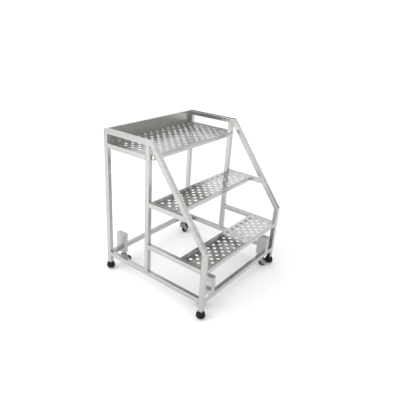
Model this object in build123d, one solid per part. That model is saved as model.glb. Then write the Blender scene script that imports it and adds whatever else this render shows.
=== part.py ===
from build123d import *
import math
import os

# Three-step mobile ladder stand in welded stainless square tube, on four spring-loaded swivel casters.
# +X runs across the stand, the steps face -Y, the guarded platform is at the back (+Y) and +Z is up.
# The origin is on the floor under the middle of the stand, which is shown rolling on its wheels.

# ---- driving dimensions, mm; heights are above the floor -----------------------------------------
WIDTH = 762.0                # outside of one side frame to the outside of the other
DEPTH = 716.0                # front face of the front legs to the rear face of the rear legs
FEET_GAP = 10.0              # daylight under the rubber feet while the stand rolls on its wheels

TUBE = 25.4                  # square tube, outside
TUBE_WALL = 1.65
TUBE_CORNER = 2.4            # outside corner radius of the tube

GUARD_TOP = FEET_GAP + 864.6
BEND_HEIGHT = FEET_GAP + 384.7        # outer corner where the sloped rail meets the front leg
BASE_RAIL_BOTTOM = FEET_GAP + 87.0
FIRST_STEP = FEET_GAP + 286.0
RISE = 251.0
GUARD_LENGTH = 349.4         # rear face of the stand to the outer corner over the sloped rail
POST_FRONT = 333.6           # rear face of the stand to the front face of the middle posts

SHEET = 1.9                  # folded sheet of the treads and the back panel
BEND = 4.0                   # fold radius at the middle of the sheet
LIP = 25.4                   # height of a folded lip
RETURN = 12.0                # flange turned in under a lip
TREAD_DEPTH = 177.8
PLATFORM_DEPTH = 346.0
PANEL_GAP = 3.0              # rear face of the stand to the rear edge of the platform
PANEL_INSET = 0.5            # rear face of the stand to the rear face of the back panel
HOLE_PITCH = 50.8            # along a row of holes; the next row is half a pitch over
ROW_PITCH = 25.4
HOLE_RADIUS = 9.5
MIN_LAND = 10.0              # sheet left between a row's last hole and the side frame

HOUSING_X = 32.0             # spring housing, outside
HOUSING_Y = 63.5
HOUSING_WALL = 2.0
HOUSING_CORNER = 3.0         # outside corner radius of the housing
HOUSING_TOP = FEET_GAP + 212.0
HOUSING_CENTRE_X = 288.0
STEM_FROM_FACE = 44.5        # stem axis from the stand's rear or front face
GUIDE_BOTTOM = 99.0          # plate across the housing that holds the bush
GUIDE_THICK = 6.0

BUSH_RADIUS = 9.0
BUSH_TOP = 126.0
BUSH_FLANGE_RADIUS = 13.0
BUSH_FLANGE = 3.0
STEM_RADIUS = 6.0
KINGPIN_RADIUS = 5.0
RUNNING_GAP = 0.06           # radial clearance of a shaft in its bore
SEAT_GAP = 0.1               # daylight under a face that rests on another
COLLAR_RADIUS = 12.0
COLLAR_THICK = 4.0
STEM_TOP = 185.0
RIVET_RADIUS = 8.0           # kingpin head under the fork's crown
RIVET_THICK = 3.5
EDGE_BREAK = 1.0             # small chamfer on turned ends
CAP_RADIUS = 19.0            # fixed cup of the swivel
CAP_BOTTOM = 71.5
CAP_TOP = 82.0

SPRING_RADIUS = 9.6          # middle of the wire
WIRE_RADIUS = 1.3
SPRING_TURNS = 9

WHEEL_RADIUS = 25.4
WHEEL_WIDTH = 20.0
HUB_RADIUS = 18.0
TRAIL = 32.0                 # swivel axis to wheel axle
AXLE_RADIUS = 4.0
FORK_GAP = 24.0              # between the fork's cheeks
FORK_PLATE = 2.5
CROWN_BOTTOM = 61.0
CROWN_TOP = 64.0
CROWN_RADIUS = 17.0
CHEEK_HALF = 15.0            # half length of a cheek where it leaves the crown
AXLE_BOSS = 9.0              # radius of a cheek round the axle
RACE_TOP = 71.2
BOLT_HEAD = 5.0
BOLT_NUT = 6.0
BOLT_SPARE = 2.0             # thread past the nut
BOLT_FLATS = 12.0
HUB_BOSS = 8.5
HUB_WEB = 7.0                # thickness of the hub's web
HUB_RIM = 2.5                # thickness of the hub's rim

FOOT_RADIUS = 25.0
FOOT_TOP = FEET_GAP + 37.0
FOOT_SOLE = 9.0
FOOT_WIDEST = FEET_GAP + 16.0
FOOT_FLAT = 16.0             # radius of the flat sole
FOOT_MOUTH = 19.5            # radius just under the rounded rim of the socket
FOOT_RIM = 2.0

# ---- worked-out places ---------------------------------------------------------------------------
REAR = DEPTH / 2
FRONT = -DEPTH / 2
INNER_X = WIDTH / 2 - TUBE
FRAME_X = (WIDTH - TUBE) / 2
BASE_RAIL_TOP = BASE_RAIL_BOTTOM + TUBE
TREAD_TOPS = [FIRST_STEP + RISE * step for step in range(3)]
SIDES = {"left": -1, "right": 1}
# corner: side of X, side of Y, and where the wheel trails, in degrees from +X
CORNERS = {
    "rear_left": (-1, 1, 0.0),
    "rear_right": (1, 1, -3.0),
    "front_left": (-1, -1, 81.0),
    "front_right": (1, -1, -28.0),
}

parts = {}


def tube_section():
    inside = TUBE - 2 * TUBE_WALL
    hollow = RectangleRounded(inside, inside, TUBE_CORNER - TUBE_WALL)
    return RectangleRounded(TUBE, TUBE, TUBE_CORNER) - hollow


def square_tube(start, end):
    """Hollow tube from one point to another along its middle."""
    along = Vector(*end) - Vector(*start)
    across = (0, 1, 0) if abs(along.X) > 0 else (1, 0, 0)
    plane = Plane(origin=start, x_dir=across, z_dir=along.normalized())
    return extrude(plane * tube_section(), amount=along.length)


# ---- welded side frames --------------------------------------------------------------------------
def outline():
    """Outer corners of a side frame in (y, z), up the rear leg, forward, and down to the front foot."""
    foot = FEET_GAP + FOOT_SOLE
    return [
        (REAR, foot),
        (REAR, GUARD_TOP),
        (REAR - GUARD_LENGTH, GUARD_TOP),
        (FRONT, BEND_HEIGHT),
        (FRONT, foot),
    ]


def direction(start, end):
    length = math.dist(start, end)
    return (end[0] - start[0]) / length, (end[1] - start[1]) / length


def mitred_member(index, x):
    """One straight member of the outline, cut on the mitre wherever it meets its neighbour."""
    points = outline()
    start, end = points[index], points[index + 1]
    dy, dz = direction(start, end)
    inward = (-dz * TUBE / 2, dy * TUBE / 2)
    first, last = index == 0, index == len(points) - 2
    before = 0 if first else TUBE
    after = 0 if last else TUBE
    low = (x, start[0] + inward[0] - dy * before, start[1] + inward[1] - dz * before)
    high = (x, end[0] + inward[0] + dy * after, end[1] + inward[1] + dz * after)
    member = square_tube(low, high)
    if not first:
        py, pz = direction(points[index - 1], start)
        cut = Plane(origin=(x, *start), z_dir=(0, py + dy, pz + dz))
        member = split(member, bisect_by=cut, keep=Keep.TOP)
    if not last:
        ny, nz = direction(end, points[index + 2])
        cut = Plane(origin=(x, *end), z_dir=(0, ny + dy, nz + dz))
        member = split(member, bisect_by=cut, keep=Keep.BOTTOM)
    return member


def middle_step_rail(x):
    """Level rail that dies into the underside of the sloped rail."""
    corner, bend = outline()[2], outline()[3]
    dy, dz = direction(corner, bend)
    level = TREAD_TOPS[1] - TUBE / 2
    rail = square_tube((x, REAR - POST_FRONT, level), (x, FRONT, level))
    underside = Plane(origin=(x, corner[0] - dz * TUBE, corner[1] + dy * TUBE), z_dir=(0, dz, -dy))
    return split(rail, bisect_by=underside, keep=Keep.BOTTOM)


def side_frame(side, sign):
    x = sign * FRAME_X
    for index, name in enumerate(["rear_leg", "guard_rail", "sloped_rail", "front_leg"]):
        parts[f"{name}_{side}"] = mitred_member(index, x)
    post_y = REAR - POST_FRONT + TUBE / 2
    post_rear = REAR - POST_FRONT + TUBE
    rail_y = (REAR - TUBE, FRONT + TUBE)
    base_z = BASE_RAIL_BOTTOM + TUBE / 2
    step_z = TREAD_TOPS[0] - TUBE / 2
    deck_z = TREAD_TOPS[2] - TUBE / 2
    parts[f"middle_post_{side}"] = square_tube((x, post_y, BASE_RAIL_TOP), (x, post_y, GUARD_TOP - TUBE))
    parts[f"base_rail_{side}"] = square_tube((x, rail_y[0], base_z), (x, rail_y[1], base_z))
    parts[f"lower_step_rail_{side}"] = square_tube((x, REAR - POST_FRONT, step_z), (x, rail_y[1], step_z))
    parts[f"middle_step_rail_{side}"] = middle_step_rail(x)
    parts[f"platform_rail_{side}"] = square_tube((x, rail_y[0], deck_z), (x, post_rear, deck_z))


def cross_rails():
    base_z = BASE_RAIL_BOTTOM + TUBE / 2
    for name, y in (("rear_cross_rail", REAR - TUBE / 2), ("front_cross_rail", FRONT + TUBE / 2)):
        parts[name] = square_tube((-INNER_X, y, base_z), (INNER_X, y, base_z))


# ---- folded sheet --------------------------------------------------------------------------------
def folded_sheet(points):
    """Sheet folded along a line of (y, z) points at its middle, running between the side frames."""
    section = trace(FilletPolyline(*points, radius=BEND), SHEET)
    plane = Plane(origin=(-INNER_X, 0, 0), x_dir=(0, 1, 0), z_dir=(1, 0, 0))
    return extrude(plane * section, amount=2 * INNER_X)


def hole_places(front, rows):
    """Staggered rows of punched holes, the first row one pitch behind the front edge."""
    places = []
    for row in range(rows):
        shift = HOLE_PITCH / 2 if row % 2 == 0 else 0.0
        count = int((INNER_X - HOLE_RADIUS - MIN_LAND - shift) / HOLE_PITCH)
        first = -count if shift == 0 else -count - 1
        y = front + ROW_PITCH * (row + 1)
        places += [(HOLE_PITCH * i + shift, y) for i in range(first, count + 1)]
    return places


def tread(front, depth, top):
    half = SHEET / 2
    rear_y, front_y = front + depth - half, front + half
    low, high = top - LIP + half, top - half
    sheet = folded_sheet([
        (rear_y - RETURN, low), (rear_y, low), (rear_y, high),
        (front_y, high), (front_y, low), (front_y + RETURN, low),
    ])
    rows = int((depth - ROW_PITCH / 2) / ROW_PITCH)
    punches = Sketch() + [Pos(x, y) * Circle(HOLE_RADIUS) for x, y in hole_places(front, rows)]
    return sheet - extrude(Pos(0, 0, top - 2 * SHEET) * punches, amount=3 * SHEET)


def back_panel():
    """Toe board closing the back of the platform, its top edge turned forward."""
    middle = REAR - SHEET / 2 - PANEL_INSET
    top, bottom = GUARD_TOP - SHEET / 2, TREAD_TOPS[2] - LIP
    return folded_sheet([(middle, bottom), (middle, top), (middle - RETURN, top)])


def treads_and_panel():
    parts["lower_tread"] = tread(FRONT, TREAD_DEPTH, TREAD_TOPS[0])
    parts["middle_tread"] = tread(REAR - POST_FRONT - TREAD_DEPTH, TREAD_DEPTH, TREAD_TOPS[1])
    parts["platform_deck"] = tread(REAR - PLATFORM_DEPTH, PLATFORM_DEPTH - PANEL_GAP, TREAD_TOPS[2])
    parts["back_panel"] = back_panel()


# ---- rubber feet ---------------------------------------------------------------------------------
def rubber_foot():
    """Squat rubber tip with a square socket for the end of a leg."""
    sole, bulge = (FOOT_FLAT, FEET_GAP), (FOOT_RADIUS, FOOT_WIDEST)
    shoulder = (FOOT_MOUTH, FOOT_TOP - FOOT_RIM)
    rim = (FOOT_MOUTH - FOOT_RIM, FOOT_TOP)
    profile = make_face([
        Line((0, FEET_GAP), sole),
        Spline(sole, bulge, shoulder, tangents=[(1, 0.25), (-0.2, 1)]),
        RadiusArc(shoulder, rim, -FOOT_RIM),
        Line(rim, (0, FOOT_TOP)),
        Line((0, FOOT_TOP), (0, FEET_GAP)),
    ])
    foot = revolve(Plane.XZ * profile, axis=Axis.Z)
    fit = TUBE + 2 * SEAT_GAP
    socket = RectangleRounded(fit, fit, TUBE_CORNER)
    return foot - extrude(Pos(0, 0, FEET_GAP + FOOT_SOLE) * socket, amount=FOOT_TOP)


# ---- spring-loaded casters, built about the swivel axis ------------------------------------------
def turned(points):
    """Solid of revolution about Z from (radius, z) points."""
    return revolve(Plane.XZ * make_face(Polyline(*points, close=True)), axis=Axis.Z)


def spring_housing():
    """Box of sheet over the cross rail, closed on top, for a rear corner: the rail lies on its +Y side."""
    wall = HOUSING_WALL
    face = STEM_FROM_FACE                      # the stand's face, seen from the stem
    middle_y = face - HOUSING_Y / 2
    height = HOUSING_TOP - BASE_RAIL_BOTTOM
    low = Align.CENTER, Align.CENTER, Align.MIN
    outside = extrude(RectangleRounded(HOUSING_X, HOUSING_Y, HOUSING_CORNER), amount=height)
    hollow = RectangleRounded(HOUSING_X - 2 * wall, HOUSING_Y - 2 * wall, HOUSING_CORNER - wall)
    inside = extrude(hollow, amount=height - wall)
    box = Pos(0, middle_y, BASE_RAIL_BOTTOM) * (outside - inside)
    passage = Box(2 * HOUSING_X, TUBE + 2 * SEAT_GAP, TUBE + SEAT_GAP, align=low)
    passage = Pos(0, face - TUBE / 2, BASE_RAIL_BOTTOM) * passage
    plate_y = face - wall - HOUSING_Y + 2 * wall
    guide_depth = HOUSING_Y - TUBE - wall - SEAT_GAP
    guide = Box(HOUSING_X - 2 * wall, guide_depth, GUIDE_THICK, align=low)
    guide = Pos(0, plate_y + guide_depth / 2, GUIDE_BOTTOM) * guide
    bore = Pos(0, 0, GUIDE_BOTTOM) * Cylinder(BUSH_RADIUS + RUNNING_GAP, 4 * GUIDE_THICK)
    return (box - passage) + (guide - bore)


def guide_bush():
    bore = STEM_RADIUS + RUNNING_GAP
    under = GUIDE_BOTTOM - BUSH_FLANGE
    return turned([
        (bore, under), (BUSH_FLANGE_RADIUS, under), (BUSH_FLANGE_RADIUS, GUIDE_BOTTOM),
        (BUSH_RADIUS, GUIDE_BOTTOM), (BUSH_RADIUS, BUSH_TOP), (bore, BUSH_TOP),
    ])


def caster_stem():
    """Plunger: swivel cup and kingpin below, a collar that the spring pushes on, and a plain top."""
    rivet_low, rivet_high = CROWN_BOTTOM - RIVET_THICK, CROWN_BOTTOM - SEAT_GAP
    collar_low = BUSH_TOP + SEAT_GAP
    collar_high = collar_low + COLLAR_THICK
    slope = 3 * EDGE_BREAK
    return turned([
        (0, rivet_low), (RIVET_RADIUS - EDGE_BREAK, rivet_low),
        (RIVET_RADIUS, rivet_low + EDGE_BREAK), (RIVET_RADIUS, rivet_high),
        (KINGPIN_RADIUS, rivet_high), (KINGPIN_RADIUS, CAP_BOTTOM),
        (CAP_RADIUS, CAP_BOTTOM), (CAP_RADIUS, CAP_TOP - slope), (CAP_RADIUS - slope, CAP_TOP),
        (STEM_RADIUS, CAP_TOP), (STEM_RADIUS, collar_low),
        (COLLAR_RADIUS, collar_low), (COLLAR_RADIUS, collar_high), (STEM_RADIUS, collar_high),
        (STEM_RADIUS, STEM_TOP - EDGE_BREAK), (STEM_RADIUS - EDGE_BREAK, STEM_TOP), (0, STEM_TOP),
    ])


def coil_spring():
    """Compression spring between the collar and the top of the housing."""
    seat = BUSH_TOP + SEAT_GAP + COLLAR_THICK
    top = HOUSING_TOP - HOUSING_WALL
    bottom_wire, top_wire = seat + WIRE_RADIUS, top - WIRE_RADIUS
    rise = top_wire - bottom_wire
    path = Pos(0, 0, bottom_wire) * Helix(pitch=rise / SPRING_TURNS, height=rise, radius=SPRING_RADIUS)
    start = Plane(origin=path @ 0, z_dir=path % 0)
    return sweep(start * Circle(WIRE_RADIUS), path=path, is_frenet=True)


def caster_fork():
    """Pressed fork: round crown with the lower race on it, and two cheeks that trail back to the axle."""
    inner, outer = FORK_GAP / 2, FORK_GAP / 2 + FORK_PLATE
    ends = (-CHEEK_HALF, CHEEK_HALF)
    root = [Line((end, CROWN_BOTTOM - FORK_PLATE), (end, CROWN_TOP)).edge() for end in ends]
    boss_edge = (Pos(TRAIL, WHEEL_RADIUS) * Circle(AXLE_BOSS)).edges()
    cheek = extrude(Plane.XZ * make_hull([*root, *boss_edge]), amount=FORK_PLATE)
    crown = Circle(CROWN_RADIUS) + Rectangle(2 * CHEEK_HALF, 2 * outer)
    fork = Pos(0, -inner, 0) * cheek + Pos(0, outer, 0) * cheek
    fork += Pos(0, 0, CROWN_BOTTOM) * extrude(crown, amount=CROWN_TOP - CROWN_BOTTOM)
    fork += turned([
        (0, CROWN_TOP), (CROWN_RADIUS - EDGE_BREAK, CROWN_TOP), (CROWN_RADIUS, CROWN_TOP + 2 * EDGE_BREAK),
        (CROWN_RADIUS - EDGE_BREAK, RACE_TOP), (0, RACE_TOP),
    ])
    kingpin_bore = Cylinder(KINGPIN_RADIUS + RUNNING_GAP, 2 * (RACE_TOP - CROWN_BOTTOM))
    axle_bore = Rot(90, 0, 0) * Cylinder(AXLE_RADIUS + RUNNING_GAP, 4 * outer)
    return fork - Pos(0, 0, CROWN_TOP) * kingpin_bore - Pos(TRAIL, 0, WHEEL_RADIUS) * axle_bore


def axle_bolt():
    """Hex bolt through the fork and wheel, with its nut."""
    outer = FORK_GAP / 2 + FORK_PLATE
    hexagon = RegularPolygon(BOLT_FLATS / math.sqrt(3), 6)
    shank = extrude(Pos(0, 0, -outer) * Circle(AXLE_RADIUS), amount=2 * outer + BOLT_NUT + BOLT_SPARE)
    bolt = shank + extrude(Pos(0, 0, -outer - BOLT_HEAD) * hexagon, amount=BOLT_HEAD)
    nut = extrude(Pos(0, 0, outer) * (hexagon - Circle(AXLE_RADIUS + RUNNING_GAP)), amount=BOLT_NUT)
    place = Pos(TRAIL, 0, WHEEL_RADIUS) * Rot(90, 0, 0)
    return Compound(children=[place * bolt, place * nut])


def about_axle(profile):
    """Solid of revolution about the axle from a face in (radius, across)."""
    ring = revolve(Plane.XZ * profile, axis=Axis.Z)
    return Pos(TRAIL, 0, WHEEL_RADIUS) * Rot(90, 0, 0) * ring


def tyre():
    band = Rectangle(WHEEL_RADIUS - HUB_RADIUS, WHEEL_WIDTH)
    band = Pos((WHEEL_RADIUS + HUB_RADIUS) / 2, 0) * band
    shoulders = band.vertices().sort_by(Axis.X)[-2:]
    return about_axle(fillet(shoulders, radius=WHEEL_WIDTH / 5))


def wheel_hub():
    """Moulded hub: bearing boss, thin web and rim."""
    bore = AXLE_RADIUS + RUNNING_GAP
    rim = HUB_RADIUS - HUB_RIM
    half_boss, half_web, half_rim = FORK_GAP / 2 - 5 * SEAT_GAP, HUB_WEB / 2, WHEEL_WIDTH / 2 - EDGE_BREAK
    upper = [
        (bore, half_boss), (HUB_BOSS, half_boss), (HUB_BOSS, half_web),
        (rim, half_web), (rim, half_rim), (HUB_RADIUS, half_rim),
    ]
    lower = [(r, -z) for r, z in reversed(upper)]
    return about_axle(make_face(Polyline(*upper, *lower, close=True)))


def casters_and_feet():
    foot = rubber_foot()
    fixed = {"spring_housing": spring_housing()}
    upright = {"guide_bush": guide_bush(), "caster_stem": caster_stem(), "caster_spring": coil_spring()}
    trailing = {"caster_fork": caster_fork(), "axle_bolt": axle_bolt(), "caster_tyre": tyre(),
                "caster_hub": wheel_hub()}
    for corner, (side_x, side_y, trail_angle) in CORNERS.items():
        place = Pos(side_x * HOUSING_CENTRE_X, side_y * (REAR - STEM_FROM_FACE), 0)
        turn = Rot(0, 0, 0 if side_y > 0 else 180)
        parts[f"rubber_foot_{corner}"] = Pos(side_x * FRAME_X, side_y * (REAR - TUBE / 2), 0) * foot
        for name, shape in fixed.items():
            parts[f"{name}_{corner}"] = place * turn * shape
        for name, shape in upright.items():
            parts[f"{name}_{corner}"] = place * shape
        for name, shape in trailing.items():
            parts[f"{name}_{corner}"] = place * Rot(0, 0, trail_angle) * shape


def main():
    for side, sign in SIDES.items():
        side_frame(side, sign)
    cross_rails()
    treads_and_panel()
    casters_and_feet()
    os.makedirs("parts", exist_ok=True)
    for name, shape in parts.items():
        export_step(shape, f"parts/{name}.step")
    print(len(parts), "parts")


main()
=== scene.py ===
import math

import bmesh
import bpy
from mathutils import Matrix, Vector


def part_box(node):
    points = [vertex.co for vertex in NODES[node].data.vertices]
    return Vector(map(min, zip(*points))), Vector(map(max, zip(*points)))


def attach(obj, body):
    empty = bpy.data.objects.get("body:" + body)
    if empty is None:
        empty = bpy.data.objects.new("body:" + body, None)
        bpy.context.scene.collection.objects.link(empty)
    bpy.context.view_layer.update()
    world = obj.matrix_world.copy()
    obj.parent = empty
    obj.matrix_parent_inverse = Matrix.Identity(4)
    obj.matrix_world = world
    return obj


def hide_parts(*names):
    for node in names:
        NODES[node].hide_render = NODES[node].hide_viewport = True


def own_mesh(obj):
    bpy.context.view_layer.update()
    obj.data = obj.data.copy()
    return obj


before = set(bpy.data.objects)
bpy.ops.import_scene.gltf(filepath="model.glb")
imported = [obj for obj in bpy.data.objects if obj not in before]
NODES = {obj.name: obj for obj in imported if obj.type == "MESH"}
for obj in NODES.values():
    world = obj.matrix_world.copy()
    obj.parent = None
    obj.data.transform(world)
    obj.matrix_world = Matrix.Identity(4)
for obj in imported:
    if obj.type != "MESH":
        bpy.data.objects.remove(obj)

SIDES = ("left", "right")
CORNERS = ("rear_left", "rear_right", "front_left", "front_right")
X, Y, Z = range(3)
AXES = (Vector((1, 0, 0)), Vector((0, 1, 0)), Vector((0, 0, 1)))
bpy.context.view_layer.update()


# ---- shader helpers ------------------------------------------------------------------------------
def maths(tree, operation, first, second):
    """Math node on two values, each a number or a socket."""
    made = tree.nodes.new("ShaderNodeMath")
    made.operation = operation
    for socket, value in zip(made.inputs, (first, second)):
        if isinstance(value, (int, float)):
            socket.default_value = value
        else:
            tree.links.new(value, socket)
    return made.outputs["Value"]


def dimmed(colour, share):
    return tuple(channel * share for channel in colour)


class Shader:
    """A principled material built node by node."""

    def __init__(self, name, metallic=0.0):
        self.material = bpy.data.materials.new(name)
        self.material.use_nodes = True
        self.tree = self.material.node_tree
        self.surface = self.tree.nodes["Principled BSDF"]
        self.surface.inputs["Metallic"].default_value = metallic
        self.place = self.tree.nodes.new("ShaderNodeTexCoord").outputs["Object"]

    def join(self, source, target):
        self.tree.links.new(source, target)

    def noise(self, scale, stretch=(1, 1, 1), detail=3.0, rough=0.55, turn=(0, 0, 0), shift=(0, 0, 0)):
        mapping = self.tree.nodes.new("ShaderNodeMapping")
        mapping.inputs["Scale"].default_value = stretch
        mapping.inputs["Rotation"].default_value = turn
        mapping.inputs["Location"].default_value = shift
        self.join(self.place, mapping.inputs["Vector"])
        texture = self.tree.nodes.new("ShaderNodeTexNoise")
        texture.inputs["Scale"].default_value = scale
        texture.inputs["Detail"].default_value = detail
        texture.inputs["Roughness"].default_value = rough
        self.join(mapping.outputs["Vector"], texture.inputs["Vector"])
        return texture.outputs["Fac"]

    def remap(self, value, low, high, start=0.3, end=0.7):
        """The value, from start to end, carried to the range low to high."""
        made = self.tree.nodes.new("ShaderNodeMapRange")
        made.inputs["From Min"].default_value = start
        made.inputs["From Max"].default_value = end
        made.inputs["To Min"].default_value = low
        made.inputs["To Max"].default_value = high
        self.join(value, made.inputs["Value"])
        return made.outputs["Result"]

    def add(self, first, second, share=1.0):
        """The first value plus a share of the second."""
        if share != 1.0:
            second = maths(self.tree, "MULTIPLY", second, share)
        return maths(self.tree, "ADD", first, second)

    def mix(self, factor, first, second):
        made = self.tree.nodes.new("ShaderNodeMix")
        made.data_type = "RGBA"
        self.join(factor, made.inputs["Factor"])
        for socket, value in ((made.inputs["A"], first), (made.inputs["B"], second)):
            if isinstance(value, tuple):
                socket.default_value = (*value, 1)
            else:
                self.join(value, socket)
        return made.outputs["Result"]

    def colour(self, value):
        self.join(value, self.surface.inputs["Base Color"])

    def roughness(self, value):
        self.join(value, self.surface.inputs["Roughness"])

    def specular(self, level):
        self.surface.inputs["Specular IOR Level"].default_value = level

    def bump(self, height, strength, distance):
        made = self.tree.nodes.new("ShaderNodeBump")
        made.inputs["Strength"].default_value = strength
        made.inputs["Distance"].default_value = distance
        self.join(height, made.inputs["Height"])
        self.join(made.outputs["Normal"], self.surface.inputs["Normal"])


# ---- materials -----------------------------------------------------------------------------------
def brushed_steel(
    name, grain, base=(0.50, 0.50, 0.49), rough=(0.16, 0.28), turn=(0, 0, 0), across=260.0
):
    """Satin stainless: fine lines along one axis, faint cloudy patches and handling marks."""
    shader = Shader(name, metallic=1.0)
    drawn_out = 0.02
    stretch = tuple(drawn_out if axis == grain else 1.0 for axis in "xyz")
    lines = shader.noise(across, stretch, detail=4.0, rough=0.65, turn=turn)
    coarse = shader.noise(across / 5, stretch, detail=2.0, turn=turn, shift=(0.3, 0.1, 0.2))
    cloud = shader.noise(scale=9.0, detail=4.0)
    smear = shader.noise(scale=38.0, stretch=(1.0, 0.6, 0.8), detail=5.0, rough=0.7)

    dark = dimmed(base, 0.86)
    light = tuple(min(1.0, channel * 1.10) for channel in base)
    worn = tuple(channel * share for channel, share in zip(base, (0.93, 0.92, 0.89)))
    tone = shader.remap(shader.add(lines, coarse), 0.0, 1.0, start=0.75, end=1.25)
    patches = shader.remap(cloud, 0.0, 0.35, start=0.45, end=0.75)
    shader.colour(shader.mix(patches, shader.mix(tone, dark, light), worn))

    marks = shader.add(lines, smear, share=0.8)
    shader.roughness(shader.remap(marks, *rough, start=0.6, end=1.2))
    shader.bump(shader.add(lines, coarse, share=0.6), strength=0.12, distance=0.0003)
    return shader.material


def rubber(name, base=(0.004, 0.004, 0.004), rough=(0.5, 0.7)):
    """Black moulded rubber with a fine grain and a little pale dust."""
    shader = Shader(name)
    grain = shader.noise(scale=900.0, detail=3.0)
    dust = shader.noise(scale=45.0, detail=5.0, rough=0.7)
    pale = tuple(channel + 0.012 for channel in base)
    shader.colour(shader.mix(shader.remap(dust, 0.0, 0.6, start=0.5, end=0.75), base, pale))
    shader.roughness(shader.remap(dust, *rough))
    shader.bump(grain, strength=0.25, distance=0.0002)
    shader.specular(0.22)
    return shader.material


def moulded_plastic(name, base):
    """Fine-grained plastic, a little darker in cloudy patches."""
    shader = Shader(name)
    grain = shader.noise(scale=700.0, detail=2.0)
    cloud = shader.noise(scale=30.0, detail=4.0)
    shader.colour(shader.mix(shader.remap(cloud, 0.0, 0.7), base, dimmed(base, 0.78)))
    shader.roughness(shader.remap(cloud, 0.32, 0.5))
    shader.bump(grain, strength=0.15, distance=0.0002)
    return shader.material


def plated(name, base, rough):
    """Plain or plated metal, a little duller in cloudy patches."""
    shader = Shader(name, metallic=1.0)
    cloud = shader.noise(scale=60.0, detail=4.0, rough=0.65)
    fine = shader.noise(scale=420.0, detail=2.0)
    dull = tuple(channel * share for channel, share in zip(base, (0.82, 0.82, 0.80)))
    shader.colour(shader.mix(shader.remap(cloud, 0.0, 0.8), base, dull))
    shader.roughness(shader.remap(shader.add(cloud, fine, share=0.4), *rough, start=0.5, end=0.9))
    shader.bump(fine, strength=0.1, distance=0.0002)
    return shader.material


def paint(node, material):
    slots = NODES[node].data.materials
    if not slots:
        slots.append(material)
    for index in range(len(slots)):
        slots[index] = material


along_x = brushed_steel("steel_grain_x", "x")
along_y = brushed_steel("steel_grain_y", "y")
along_z = brushed_steel("steel_grain_z", "z")
rail_low, rail_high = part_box("sloped_rail_left")
slope = math.atan2(rail_high.z - rail_low.z, rail_high.y - rail_low.y)
along_slope = brushed_steel("steel_grain_slope", "y", turn=(-slope, 0, 0))
tread = brushed_steel("tread_sheet_steel", "x", (0.52, 0.52, 0.51), (0.07, 0.14), across=200.0)
deck = brushed_steel("deck_sheet_steel", "x", (0.53, 0.53, 0.52), (0.20, 0.30), across=200.0)
panel = brushed_steel("panel_sheet_steel", "x", (0.45, 0.45, 0.43), (0.26, 0.42), across=150.0)
guard = brushed_steel("guard_rail_steel", "y", (0.49, 0.49, 0.48), (0.08, 0.16))
housing = brushed_steel("housing_sheet_steel", "z", (0.48, 0.48, 0.47), (0.16, 0.28))
foot_rubber = rubber("foot_rubber_black")
tyre_rubber = rubber("tyre_rubber_black", (0.007, 0.007, 0.007), (0.55, 0.75))
hub_plastic = moulded_plastic("hub_plastic_grey", (0.20, 0.20, 0.195))
zinc = plated("zinc_plate", (0.34, 0.34, 0.35), (0.22, 0.38))
bright = plated("bright_plate", (0.72, 0.72, 0.72), (0.1, 0.22))
bronze = plated("sintered_bronze", (0.45, 0.32, 0.16), (0.35, 0.5))
wire = plated("spring_wire", (0.40, 0.40, 0.41), (0.25, 0.4))
weld_metal = plated("weld_metal", (0.46, 0.45, 0.43), (0.25, 0.42))

for side in SIDES:
    for name in ("rear_leg", "front_leg", "middle_post"):
        paint(f"{name}_{side}", along_z)
    for name in ("base_rail", "lower_step_rail", "middle_step_rail", "platform_rail"):
        paint(f"{name}_{side}", along_y)
    paint(f"guard_rail_{side}", guard)
    paint(f"sloped_rail_{side}", along_slope)
for name in ("rear_cross_rail", "front_cross_rail"):
    paint(name, along_x)
for name in ("lower_tread", "middle_tread"):
    paint(name, tread)
paint("platform_deck", deck)
paint("back_panel", panel)
for corner in CORNERS:
    paint(f"rubber_foot_{corner}", foot_rubber)
    paint(f"spring_housing_{corner}", housing)
    paint(f"guide_bush_{corner}", bronze)
    paint(f"caster_stem_{corner}", zinc)
    paint(f"caster_fork_{corner}", zinc)
    paint(f"axle_bolt_{corner}", bright)
    paint(f"caster_tyre_{corner}", tyre_rubber)
    paint(f"caster_hub_{corner}", hub_plastic)


# ---- mesh helpers --------------------------------------------------------------------------------
def loft(made, sections):
    """Closed skin through rings of points, with a cap at each end."""
    last = None
    for section in sections:
        ring = [made.verts.new(point) for point in section]
        if last:
            for i in range(len(ring)):
                j = (i + 1) % len(ring)
                made.faces.new((last[i], last[j], ring[j], ring[i]))
        else:
            made.faces.new(ring)
        last = ring
    made.faces.new(list(reversed(last)))


def mesh_object(made, name, material):
    """Object in the scene from a bmesh, which is used up."""
    mesh = bpy.data.meshes.new(name)
    made.to_mesh(mesh)
    made.free()
    mesh.materials.append(material)
    shown = bpy.data.objects.new(name, mesh)
    bpy.context.scene.collection.objects.link(shown)
    return shown


# ---- weld beads, with lengths in m ---------------------------------------------------------------
RING_SPACING = 0.0009        # along a bead
FEWEST_RINGS = 6
RIPPLE = 0.10                # share of the bead's size
RIPPLE_TURN = 1.9            # radians of ripple from one ring to the next
END_SIZE = 0.35              # share of the full size at a bead's very end
END_GROWTH = 9               # how fast it grows from there, over the bead's length
BULGE = 0.35                 # share that a bead's middle stands out past a flat fillet
BURIED = 0.0002              # how far a bead's root is under the surfaces
FILLET = 0.0022              # leg of a weld round a tube
FROM_CORNER = 0.0022         # a weld round a tube stops this far short of each corner
DRESSED_WIDTH = 0.0017       # half the width of a seam that was dressed flat
DRESSED_HEIGHT = 0.00035
HOUSING_FILLET = 0.0018
HOUSING_SHORT = 0.002        # a housing's weld stops this far short of the rail's edges


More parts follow.
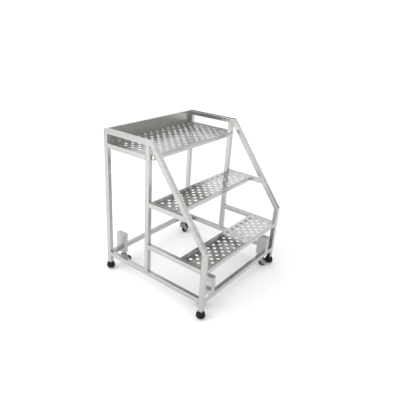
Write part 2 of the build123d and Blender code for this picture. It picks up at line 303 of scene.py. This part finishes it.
def bead(made, start, end, first, second, size):
    """Rippled bead of weld along a line, in the corner between two directions."""
    along = end - start
    rings = max(FEWEST_RINGS, int(along.length / RING_SPACING))
    sections = []
    for step in range(rings + 1):
        t = step / rings
        ripple = 1 + RIPPLE * math.sin(step * RIPPLE_TURN)
        swell = ripple * min(1.0, END_SIZE + END_GROWTH * min(t, 1 - t))
        reach = size * swell
        root = start + along * t
        section = [root + first * reach]
        for share in (0.25, 0.5, 0.75):
            bulge = 1 + BULGE * math.sin(math.pi * share)
            section.append(root + (first * (1 - share) + second * share) * reach * bulge)
        section.append(root + second * reach)
        section.append(root - (first + second) * BURIED)
        sections.append(section)
    loft(made, sections)


def seam(made, start, end, out, across):
    """Low dressed weld over a flush joint: two shallow beads back to back."""
    for side in (across, -across):
        bead(made, start, end, side * (DRESSED_WIDTH / DRESSED_HEIGHT), out, DRESSED_HEIGHT)


def weld_end(made, node, axis, end, flush=X):
    """Weld round one end of a square tube: seams on its two flush sides, fillets on the others."""
    low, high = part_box(node)
    middle = (low + high) / 2
    half = (high - low) / 2
    plane = high[axis] if end > 0 else low[axis]
    away = AXES[axis] * -end
    others = [i for i in (X, Y, Z) if i != axis]
    for across, width in (others, reversed(others)):
        for side in (-1, 1):
            line = middle.copy()
            line[axis] = plane
            line[across] += side * half[across]
            reach = AXES[width] * (half[width] - FROM_CORNER)
            if across == flush:
                seam(made, line - reach, line + reach, AXES[across] * side, AXES[axis])
            else:
                bead(made, line - reach, line + reach, AXES[across] * side, away, FILLET)


def weld_housing(made, corner):
    """Fillets along the two edges where a spring housing stands on its cross rail."""
    low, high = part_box(f"spring_housing_{corner}")
    rail = "rear_cross_rail" if "rear" in corner else "front_cross_rail"
    rail_low, rail_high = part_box(rail)
    for x, out in ((low.x, -1), (high.x, 1)):
        start = Vector((x, rail_low.y + HOUSING_SHORT, rail_high.z))
        end = Vector((x, rail_high.y - HOUSING_SHORT, rail_high.z))
        bead(made, start, end, AXES[X] * out, AXES[Z], HOUSING_FILLET)


def frame_welds():
    made = bmesh.new()
    for side in SIDES:
        for name in ("base_rail", "lower_step_rail", "platform_rail"):
            weld_end(made, f"{name}_{side}", Y, 1)
            weld_end(made, f"{name}_{side}", Y, -1)
        weld_end(made, f"middle_step_rail_{side}", Y, 1)
        weld_end(made, f"middle_post_{side}", Z, 1)
        weld_end(made, f"middle_post_{side}", Z, -1)
    for name in ("rear_cross_rail", "front_cross_rail"):
        for end in (-1, 1):
            weld_end(made, name, X, end, flush=Y)
    for corner in CORNERS:
        weld_housing(made, corner)
    bmesh.ops.recalc_face_normals(made, faces=made.faces)
    beads = mesh_object(made, "weld_beads", weld_metal)
    faces = beads.data.polygons
    faces.foreach_set("use_smooth", [True] * len(faces))
    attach(beads, "stand_frame")


frame_welds()

# ---- caster springs, with lengths in m -----------------------------------------------------------
WIRE_RADIUS = 0.0013
CLOSED_PITCH = 2.1           # wire radii that a closed coil rises
COILS = 10
RINGS_A_COIL = 40
WIRE_SIDES = 12


def coil_height(turn, rise):
    """Height of the wire's middle at a turn: a closed coil at each end and an even pitch between."""
    closed = CLOSED_PITCH * WIRE_RADIUS
    pitch = (rise - 2 * closed) / (COILS - 2)
    if turn < 1:
        return closed * turn
    if turn > COILS - 1:
        return rise - closed * (COILS - turn)
    return closed + pitch * (turn - 1)


def caster_spring(corner):
    """Compression spring of round wire, with a closed coil at each end and an even pitch between."""
    node = f"caster_spring_{corner}"
    low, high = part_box(node)
    centre = (low + high) / 2
    radius = (high.x - low.x) / 2 - WIRE_RADIUS
    height = high.z - low.z
    sections = []
    for step in range(COILS * RINGS_A_COIL + 1):
        turn = step / RINGS_A_COIL
        angle = 2 * math.pi * turn
        outward = Vector((math.cos(angle), math.sin(angle), 0))
        z = low.z + WIRE_RADIUS + coil_height(turn, height - 2 * WIRE_RADIUS)
        middle = Vector((centre.x, centre.y, z)) + outward * radius
        section = []
        for side in range(WIRE_SIDES):
            lean = 2 * math.pi * side / WIRE_SIDES
            offset = outward * math.cos(lean) + AXES[Z] * math.sin(lean)
            section.append(middle + offset * WIRE_RADIUS)
        sections.append(section)

    made = bmesh.new()
    loft(made, sections)
    bmesh.ops.recalc_face_normals(made, faces=made.faces)
    spring = mesh_object(made, f"{node}_coil", wire)
    faces = spring.data.polygons
    faces.foreach_set("use_smooth", [len(face.vertices) == 4 for face in faces])
    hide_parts(node)
    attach(spring, "stand_frame")

    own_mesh(spring)


for corner in CORNERS:
    caster_spring(corner)

# ---- floor, light and camera ---------------------------------------------------------------------
FLOOR_HALF = 40.0            # m
ROOM_STRENGTH = 1.15
KEY_PLACE = (-3.0, 0.9, 2.4)
KEY_TARGET = (0, 0, 0.4)
KEY_SIDE = 3.2               # m
KEY_POWER = 70               # W

# circles as azimuth, elevation and radius in degrees; then softness and how much light they take
FLAGS = (
    (((57, 46, 26.0), (15, 40, 21.0)), 1.0, 0.92),
    (((34, 9, 6.5),), 0.8, 0.96),
    (((37.3, 23.4, 2.6),), 1.0, 0.90),
    (((-30, 7, 9.0),), 3.0, 0.88),
    (((-45, 7, 10.0),), 3.0, 0.94),
    (((-62, 7, 12.0),), 3.0, 0.94),
)

CAMERA_PLACE = (-1.7711, -1.2822, 1.4159)
CAMERA_AZIMUTH = 39.0        # degrees round from +X
CAMERA_DOWN = 24.61          # degrees below level
CAMERA_ROLL = 2.53           # degrees
CAMERA_LENS = 36.47          # mm, on a sensor 36 mm wide
CAMERA_SHIFT = (0.061, 0.0117)


def floor_sheet():
    made = bmesh.new()
    bmesh.ops.create_grid(made, x_segments=1, y_segments=1, size=FLOOR_HALF)
    shader = Shader("floor_pale")
    shader.surface.inputs["Base Color"].default_value = (0.93, 0.93, 0.93, 1)
    shader.surface.inputs["Roughness"].default_value = 0.9
    shader.specular(0.1)
    mesh_object(made, "floor", shader.material)


def toward(azimuth, elevation):
    """Unit vector at degrees round from +X and degrees above the floor."""
    turn = math.radians(azimuth)
    lift = math.radians(elevation)
    return Vector((math.cos(lift) * math.cos(turn), math.cos(lift) * math.sin(turn), math.sin(lift)))


def inside(tree, direction, circle, soft):
    """1 in a circle of directions and 0 outside it, with an edge twice soft degrees wide."""
    azimuth, elevation, radius = circle
    dot = tree.nodes.new("ShaderNodeVectorMath")
    dot.operation = "DOT_PRODUCT"
    dot.inputs[1].default_value = toward(azimuth, elevation)
    tree.links.new(direction, dot.inputs[0])
    edge = tree.nodes.new("ShaderNodeMapRange")
    edge.interpolation_type = "SMOOTHSTEP"
    edge.inputs["From Min"].default_value = math.cos(math.radians(radius + soft))
    edge.inputs["From Max"].default_value = math.cos(math.radians(radius - soft))
    tree.links.new(dot.outputs["Value"], edge.inputs["Value"])
    return edge.outputs["Result"]


def room():
    """White room with dark flags, each a soft-edged patch where all its circles overlap.

    The camera sees plain white behind the stand, so the flags show only as reflections and shade.
    """
    world = bpy.data.worlds.new("studio")
    bpy.context.scene.world = world
    world.use_nodes = True
    tree = world.node_tree
    direction = tree.nodes.new("ShaderNodeTexCoord").outputs["Generated"]
    level = 1.0
    for circles, soft, taken in FLAGS:
        cover = taken
        for circle in circles:
            cover = maths(tree, "MULTIPLY", cover, inside(tree, direction, circle, soft))
        level = maths(tree, "MULTIPLY", level, maths(tree, "SUBTRACT", 1.0, cover))
    on_camera = tree.nodes.new("ShaderNodeLightPath").outputs["Is Camera Ray"]
    backdrop = tree.nodes["Background"]
    backdrop.inputs["Strength"].default_value = ROOM_STRENGTH
    tree.links.new(maths(tree, "MAXIMUM", level, on_camera), backdrop.inputs["Color"])


def key_light():
    data = bpy.data.lights.new("key", "AREA")
    data.shape = "RECTANGLE"
    data.size = KEY_SIDE
    data.size_y = KEY_SIDE
    data.energy = KEY_POWER
    lamp = bpy.data.objects.new("key", data)
    bpy.context.scene.collection.objects.link(lamp)
    lamp.location = KEY_PLACE
    ahead = Vector(KEY_TARGET) - Vector(KEY_PLACE)
    lamp.rotation_euler = ahead.to_track_quat("-Z", "Y").to_euler()


def photo_camera():
    """Camera that was fitted to the photo: the stand's front left corner is nearest."""
    roll = math.radians(CAMERA_ROLL)
    ahead = toward(CAMERA_AZIMUTH, -CAMERA_DOWN)
    level = ahead.cross(AXES[Z]).normalized()
    over = level.cross(ahead)
    right = math.cos(roll) * level + math.sin(roll) * over
    up = -math.sin(roll) * level + math.cos(roll) * over
    data = bpy.data.cameras.new("camera")
    data.sensor_width = 36.0
    data.lens = CAMERA_LENS
    data.shift_x, data.shift_y = CAMERA_SHIFT
    data.clip_start = 0.05
    camera = bpy.data.objects.new("camera", data)
    bpy.context.scene.collection.objects.link(camera)
    turn = Matrix((right, up, -ahead)).transposed().to_4x4()
    camera.matrix_world = Matrix.Translation(CAMERA_PLACE) @ turn
    bpy.context.scene.camera = camera


floor_sheet()
room()
key_light()
photo_camera()
bpy.context.scene.view_settings.view_transform = "Standard"
